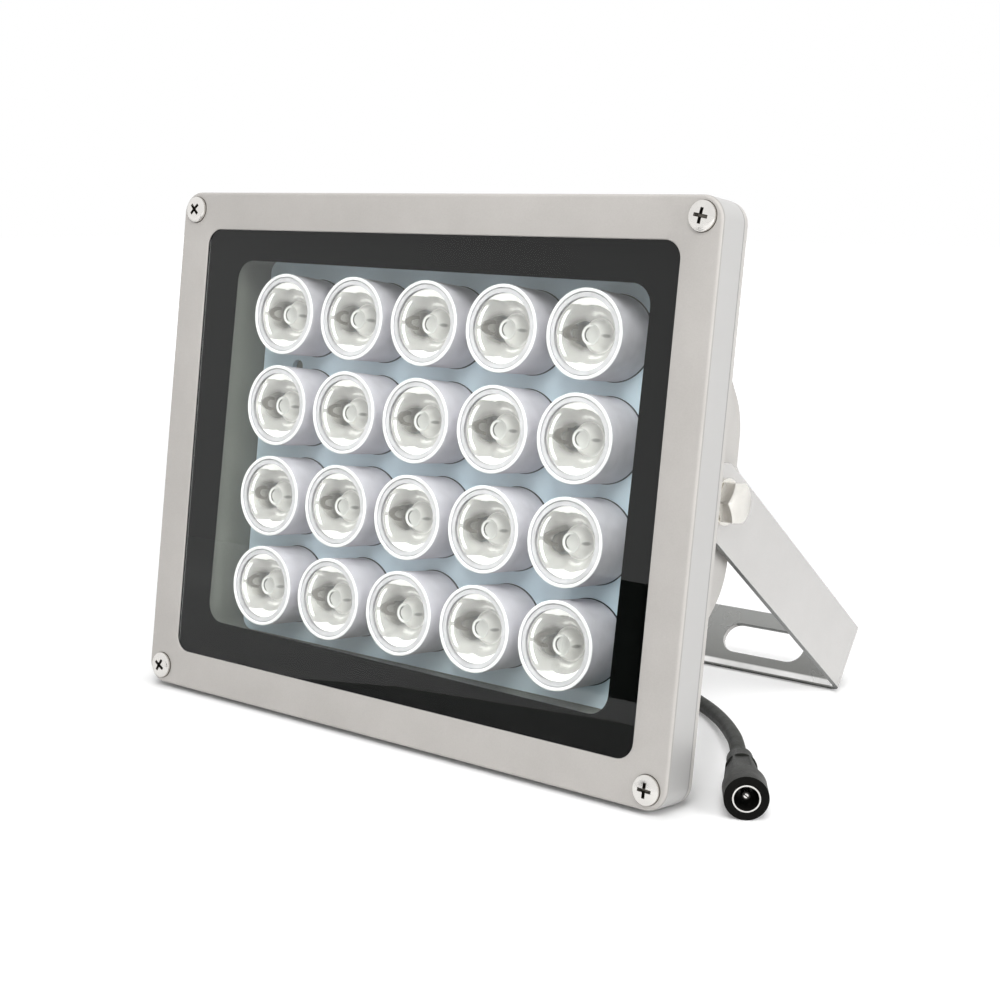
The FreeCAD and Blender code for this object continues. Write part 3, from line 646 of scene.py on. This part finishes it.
def lensProfile(v, rimFront):
    front = rimFront + v["setback"]
    seat = rimFront + unitSet["seatDepth"]
    rear = front + v["length"]
    steps = v["curveSteps"]
    shares = [step / steps for step in range(steps + 1)]
    narrow, wide = v["baseRadius"] ** 2, v["wallRadius"] ** 2
    wall = [(math.sqrt(narrow + (wide - narrow) * (1 - share)), seat + (rear - seat) * share)
            for share in shares]
    ceiling = rear - v["pocketDepth"]
    crown = [(v["pocketRadius"] * (1 - share), ceiling + v["pocketCrown"] * (1 - (1 - share) ** 2))
             for share in shares]
    flange = [(v["flangeRadius"] - v["flangeEdge"], front), (v["flangeRadius"], front + v["flangeEdge"]),
              (v["flangeRadius"], seat)]
    return [(0.0, front), (v["bowlRadius"], front)] + flange + wall + [(v["pocketMouth"], rear)] + crown


def lensPart(middle, v, rimFront):
    reach = math.hypot(middle.x, middle.z)
    front, rear = rimFront + v["setback"], rimFront + v["setback"] + v["length"]
    if middle.y < front + hair:
        return 1 if reach < v["bowlRadius"] else 2
    if reach > v["bowlRadius"]:
        return 2
    ceiling = rear - v["pocketDepth"]
    if middle.y > rear - hair:
        return 3
    return 3 if middle.y > ceiling - hair and reach < v["pocketMouth"] else 4


def holderPart(middle, v):
    # the rim's front takes the brighter copy: a painted highlight
    if middle.y < v["rimFront"] + v["edge"]:
        return 1
    reach = math.hypot(middle.x, middle.z)
    # the lifted foot is painted black as painted shade
    if middle.y > v["baseFront"] - v["gapHeight"] - hair and reach > v["holeRadius"]:
        return 3
    # the cone behind the seat takes the brighter copy: painted light
    behindSeat = middle.y > v["rimFront"] + v["seatDepth"] + hair
    return 2 if behindSeat and reach < v["seatRadius"] else 0


def unitPlaces():
    for row in range(unitSet["rows"]):
        for column in range(unitSet["columns"]):
            x = (column - (unitSet["columns"] - 1) / 2) * unitSet["pitch"]
            z = ((unitSet["rows"] - 1) / 2 - row) * unitSet["pitch"]
            yield "%d_%d" % (row + 1, column + 1), x, z


def makeHolder(name, place):
    shape = spun(holderProfile(unitSet), unitSet["steps"])
    for face in shape.faces:
        face.material_index = holderPart(face.calc_center_median(), unitSet)
    showPiece("holder_" + name, meshFrom("holder_" + name, shape, place),
              [holderPlastic, holderRimHighlight, holderConeLight, holderFootShade], "head", ("lens_holder_" + name,))


def makeLens(name, place):
    shape = spun(lensProfile(lensSet, unitSet["rimFront"]), unitSet["steps"])
    uv = shape.loops.layers.uv.new("across")
    for face in shape.faces:
        face.material_index = lensPart(face.calc_center_median(), lensSet, unitSet["rimFront"])
        for loop in face.loops:
            loop[uv].uv = (loop.vert.co.x / uvUnit, loop.vert.co.z / uvUnit)
    showPiece("optic_" + name, meshFrom("optic_" + name, shape, place),
              [lensClear, lensFront, lensFlange, lensPocket, lensBowl], "head", ("lens_" + name,))


for name, x, z in unitPlaces():
    place = headPlace @ Matrix.Translation((x, 0, z))
    makeHolder(name, place)
    makeLens(name, place)
print("lens units built")

emitterSet = {
    "side": 5.0, "height": 1.5, "front": 19.9, "wall": 0.5, "wellSlope": 0.35, "wellDepth": 0.5,
    "die": 1.5, "dieHeight": 0.3, "diePlace": 0.4,
}


def addBlock(shape, middle, sides):
    stretched = Matrix.Translation(middle) @ Matrix.Diagonal((*sides, 1.0))
    return bmesh.ops.create_cube(shape, size=1.0, matrix=stretched)["verts"]


def makeEmitters(v):
    shape = bmesh.new()
    for name, x, z in unitPlaces():
        body = addBlock(shape, (x, v["front"] + v["height"] / 2, z), (v["side"], v["height"], v["side"]))
        front = [face for face in shape.faces if all(vert in body for vert in face.verts)
                 and face.calc_center_median().y < v["front"] + hair]
        bmesh.ops.inset_region(shape, faces=front, thickness=v["wall"], depth=0.0)
        bmesh.ops.inset_region(shape, faces=front, thickness=v["wellSlope"], depth=-v["wellDepth"])
        die = addBlock(shape, (x, v["front"] + v["diePlace"], z), (v["die"], v["dieHeight"], v["die"]))
        for face in {face for vert in die for face in vert.link_faces}:
            face.material_index = 1
    mesh = meshFrom("emitters", shape, headPlace)
    showPiece("emitters", mesh, [chipBody, chipDie], "head", ("led_chips",))


makeEmitters(emitterSet)
print("emitters set")

screwSet = {
    "pitchX": 167.8, "pitchZ": 132.0, "headRadius": 3.6, "headHeight": 1.3, "rim": 0.5, "domeSide": 0.9,
    "domeTop": 0.75, "shankRadius": 1.95, "length": 12.0, "crossSpan": 4.2, "crossWidth": 0.95,
    "crossDepth": 1.0, "crossProud": 0.3, "crossTaper": 0.62, "footHeight": 0.25, "footReach": 0.14,
    "inside": 0.05, "turns": (45, 10, 30, 2), "steps": 48,
}


def crossCutter(v, turn):
    shape = bmesh.new()
    half, arm = v["crossWidth"] / 2, v["crossSpan"] / 2
    front = -v["headHeight"] - v["crossProud"]
    corners = [(half, half), (half, arm), (-half, arm), (-half, half), (-arm, half), (-arm, -half),
               (-half, -half), (-half, -arm), (half, -arm), (half, -half), (arm, -half), (arm, half)]
    face = shape.faces.new([shape.verts.new((x, front, z)) for x, z in corners])
    grown = bmesh.ops.extrude_face_region(shape, geom=[face])["geom"]
    deep = [item for item in grown if isinstance(item, bmesh.types.BMVert)]
    bmesh.ops.translate(shape, vec=(0, v["crossDepth"] + v["crossProud"], 0), verts=deep)
    bmesh.ops.scale(shape, vec=(v["crossTaper"], 1, v["crossTaper"]), verts=deep)
    turned = Matrix.Rotation(math.radians(turn), 3, "Y")
    bmesh.ops.rotate(shape, cent=(0, 0, 0), matrix=turned, verts=shape.verts)
    bmesh.ops.recalc_face_normals(shape, faces=shape.faces)
    return shape


def cutShape(name, shape, cutter):
    body = putObject(name + "Raw", toMesh(name, shape))
    tool = putObject(name + "Tool", toMesh(name + "Tool", cutter))
    cut = body.modifiers.new("cut", "BOOLEAN")
    cut.operation = "DIFFERENCE"
    cut.solver = "EXACT"
    cut.object = tool
    bpy.context.view_layer.update()
    result = bpy.data.meshes.new_from_object(body.evaluated_get(bpy.context.evaluated_depsgraph_get()))
    for item in (body, tool):
        bpy.data.objects.remove(item)
    shape = bmesh.new()
    shape.from_mesh(result)
    return shape


def screwPart(middle, v):
    reach = math.hypot(middle.x, middle.z)
    inside = v["inside"]
    # the cross recess and the foot of the head are painted dark as painted shade
    inCross = reach < v["crossSpan"] / 2 and 3 * inside - v["headHeight"] < middle.y < -inside
    atFoot = reach > v["headRadius"] - inside and middle.y > -v["footHeight"]
    return int(inCross or atFoot)


def makeScrews(v):
    every = bmesh.new()
    crown = v["headHeight"]
    quarter = [math.radians(part) for part in range(0, 91, 9)]
    dome = [(v["headRadius"] * math.sin(a) ** v["domeSide"],
             -v["rim"] - (crown - v["rim"]) * math.cos(a) ** v["domeTop"]) for a in quarter]
    foot = [(v["headRadius"], -v["footHeight"]), (v["headRadius"] + v["footReach"], 0.0)]
    profile = dome + foot + [(v["shankRadius"], 0.0), (v["shankRadius"], v["length"]), (0.0, v["length"])]
    places = [(right, up) for up in (1, -1) for right in (-1, 1)]
    for turn, (right, up) in zip(v["turns"], places):
        head = spun(profile, v["steps"])
        bmesh.ops.recalc_face_normals(head, faces=head.faces)
        screw = cutShape("screw", head, crossCutter(v, turn))
        for face in screw.faces:
            face.material_index = screwPart(face.calc_center_median(), v)
        bmesh.ops.translate(screw, vec=(right * v["pitchX"] / 2, 0, up * v["pitchZ"] / 2), verts=screw.verts)
        every.from_mesh(toMesh("screwPart", screw))
    mesh = meshFrom("cross_screws", every, headPlace)
    showPiece("cross_screws", mesh, [screwSteel, screwShade], "head", ("frame_screws",), 30.0)


makeScrews(screwSet)
print("screws driven")

# the floor glows a little, more far away, and not at all in a band under the frame's edge, which paints the
# shade there darker
studioSet = {
    "worldLight": 0.36, "floorSize": 8.0, "floorWhite": 0.84, "floorRough": 0.9, "floorGlow": 0.2,
    "farGlow": 0.7, "farFrom": 0.3, "farTo": 1.2, "underHalf": 0.088, "underFade": 0.01, "underFront": -0.064,
    "underStart": (-0.006, 0.004), "underEnd": (0.012, 0.03),
    "lamps": [
        {"name": "keyLamp", "place": (0.42, -0.62, 0.80), "size": 0.5, "power": 6.0},
        {"name": "topLamp", "place": (-0.10, 0.05, 1.0), "size": 0.8, "power": 4.0},
        {"name": "rightLamp", "place": (1.0, -0.12, 0.45), "size": 0.6, "power": 5.5},
    ],
    "aim": (0.0, 0.0, 0.07),
    "cards": [
        {"name": "standingCard", "shade": 0.01,
         "corners": [(-0.2, -0.43, 0.0), (-0.11, -0.43, 0.0), (-0.11, -0.43, 0.058), (-0.2, -0.43, 0.058)]},
        # a grey card on the floor in front, seen only in reflections: painted shade on the floor
        {"name": "floorShadeCard", "shade": 0.3,
         "corners": [(-0.114, -0.207, 0.002), (-0.06, -0.275, 0.002), (0.02, -0.275, 0.002),
                     (0.02, -0.14, 0.002), (-0.114, -0.14, 0.002)]},
    ],
}


def seenPath(tree):
    path = tree.nodes.new("ShaderNodeLightPath")
    first = tree.nodes.new("ShaderNodeMath")
    first.operation = "MAXIMUM"
    second = tree.nodes.new("ShaderNodeMath")
    second.operation = "MAXIMUM"
    tree.links.new(path.outputs["Is Camera Ray"], first.inputs[0])
    tree.links.new(path.outputs["Is Glossy Ray"], first.inputs[1])
    tree.links.new(first.outputs[0], second.inputs[0])
    tree.links.new(path.outputs["Is Transmission Ray"], second.inputs[1])
    return second.outputs[0]


def makeWorld(v):
    world = bpy.data.worlds.new("room")
    scene.world = world
    world.use_nodes = True
    tree = world.node_tree
    tree.nodes.clear()
    light = tree.nodes.new("ShaderNodeBackground")
    light.inputs["Color"].default_value = (1, 1, 1, 1)
    light.inputs["Strength"].default_value = v["worldLight"]
    shown = tree.nodes.new("ShaderNodeBackground")
    shown.inputs["Color"].default_value = (1, 1, 1, 1)
    shown.inputs["Strength"].default_value = 1.0
    mix = tree.nodes.new("ShaderNodeMixShader")
    out = tree.nodes.new("ShaderNodeOutputWorld")
    tree.links.new(seenPath(tree), mix.inputs[0])
    tree.links.new(light.outputs[0], mix.inputs[1])
    tree.links.new(shown.outputs[0], mix.inputs[2])
    tree.links.new(mix.outputs[0], out.inputs[0])


def makeFloor(v):
    shape = bmesh.new()
    bmesh.ops.create_grid(shape, x_segments=1, y_segments=1, size=v["floorSize"] / 2)
    floor = putObject("floor", toMesh("floor", shape))
    white = (v["floorWhite"],) * 3 + (1.0,)
    finish = Finish("floorWhite", Base_Color=white, Roughness=v["floorRough"], Specular_IOR_Level=0.0)
    away = finish.node("ShaderNodeVectorMath", {"operation": "LENGTH"}, {0: finish.place()}, "Value")
    path = finish.raw("ShaderNodeLightPath", {}, {})
    spot = finish.raw("ShaderNodeSeparateXYZ", {}, {"Vector": finish.place()})
    beside = Wire(finish, spot.outputs[0]).size()
    under = finish.spread(beside, v["underHalf"], v["underHalf"] + v["underFade"], 1.0, 0.0)
    deep = Wire(finish, spot.outputs[1]) - v["underFront"]
    under = under * finish.spread(deep, *v["underStart"]) * finish.spread(deep, *v["underEnd"], 1.0, 0.0)
    # no glow in the band under the frame's edge: painted shade
    near = Wire(finish, path.outputs["Is Camera Ray"]) * (1.0 - under) * v["floorGlow"]
    glow = near + finish.spread(away, v["farFrom"], v["farTo"], 0.0, v["farGlow"])
    bright = finish.raw("ShaderNodeBsdfPrincipled", {},
                        {"Base Color": white, "Roughness": v["floorRough"], "Specular IOR Level": 0.0,
                         "Emission Color": finish.blend(glow, (0, 0, 0), (1, 1, 1)), "Emission Strength": 1.0})
    mix = finish.raw("ShaderNodeMixShader", {}, {})
    finish.tree.links.new(seenPath(finish.tree), mix.inputs[0])
    finish.tree.links.new(finish.shader.outputs[0], mix.inputs[1])
    finish.tree.links.new(bright.outputs[0], mix.inputs[2])
    finish.tree.links.new(mix.outputs[0], finish.output.inputs["Surface"])
    floor.data.materials.append(finish.material)


# cards that the camera doesn't see, only reflections and glass do
def makeCards(v):
    for sheet in v["cards"]:
        shape = bmesh.new()
        shape.faces.new([shape.verts.new(corner) for corner in sheet["corners"]])
        card = putObject(sheet["name"], toMesh(sheet["name"], shape))
        tone = (sheet["shade"],) * 3 + (1.0,)
        finish = Finish(sheet["name"], Base_Color=tone, Roughness=1.0, Specular_IOR_Level=0.0)
        card.data.materials.append(finish.material)
        card.visible_camera = card.visible_diffuse = card.visible_shadow = False


def makeLamps(v):
    for lamp in v["lamps"]:
        data = bpy.data.lights.new(lamp["name"], "AREA")
        data.energy = lamp["power"]
        data.shape = "DISK"
        data.size = lamp["size"]
        lit = putObject(lamp["name"], data)
        way = Vector(v["aim"]) - Vector(lamp["place"])
        lit.matrix_world = Matrix.Translation(lamp["place"]) @ way.to_track_quat("-Z", "Y").to_matrix().to_4x4()
        lit.visible_glossy = False


makeWorld(studioSet)
makeFloor(studioSet)
makeCards(studioSet)
makeLamps(studioSet)
print("studio lit")
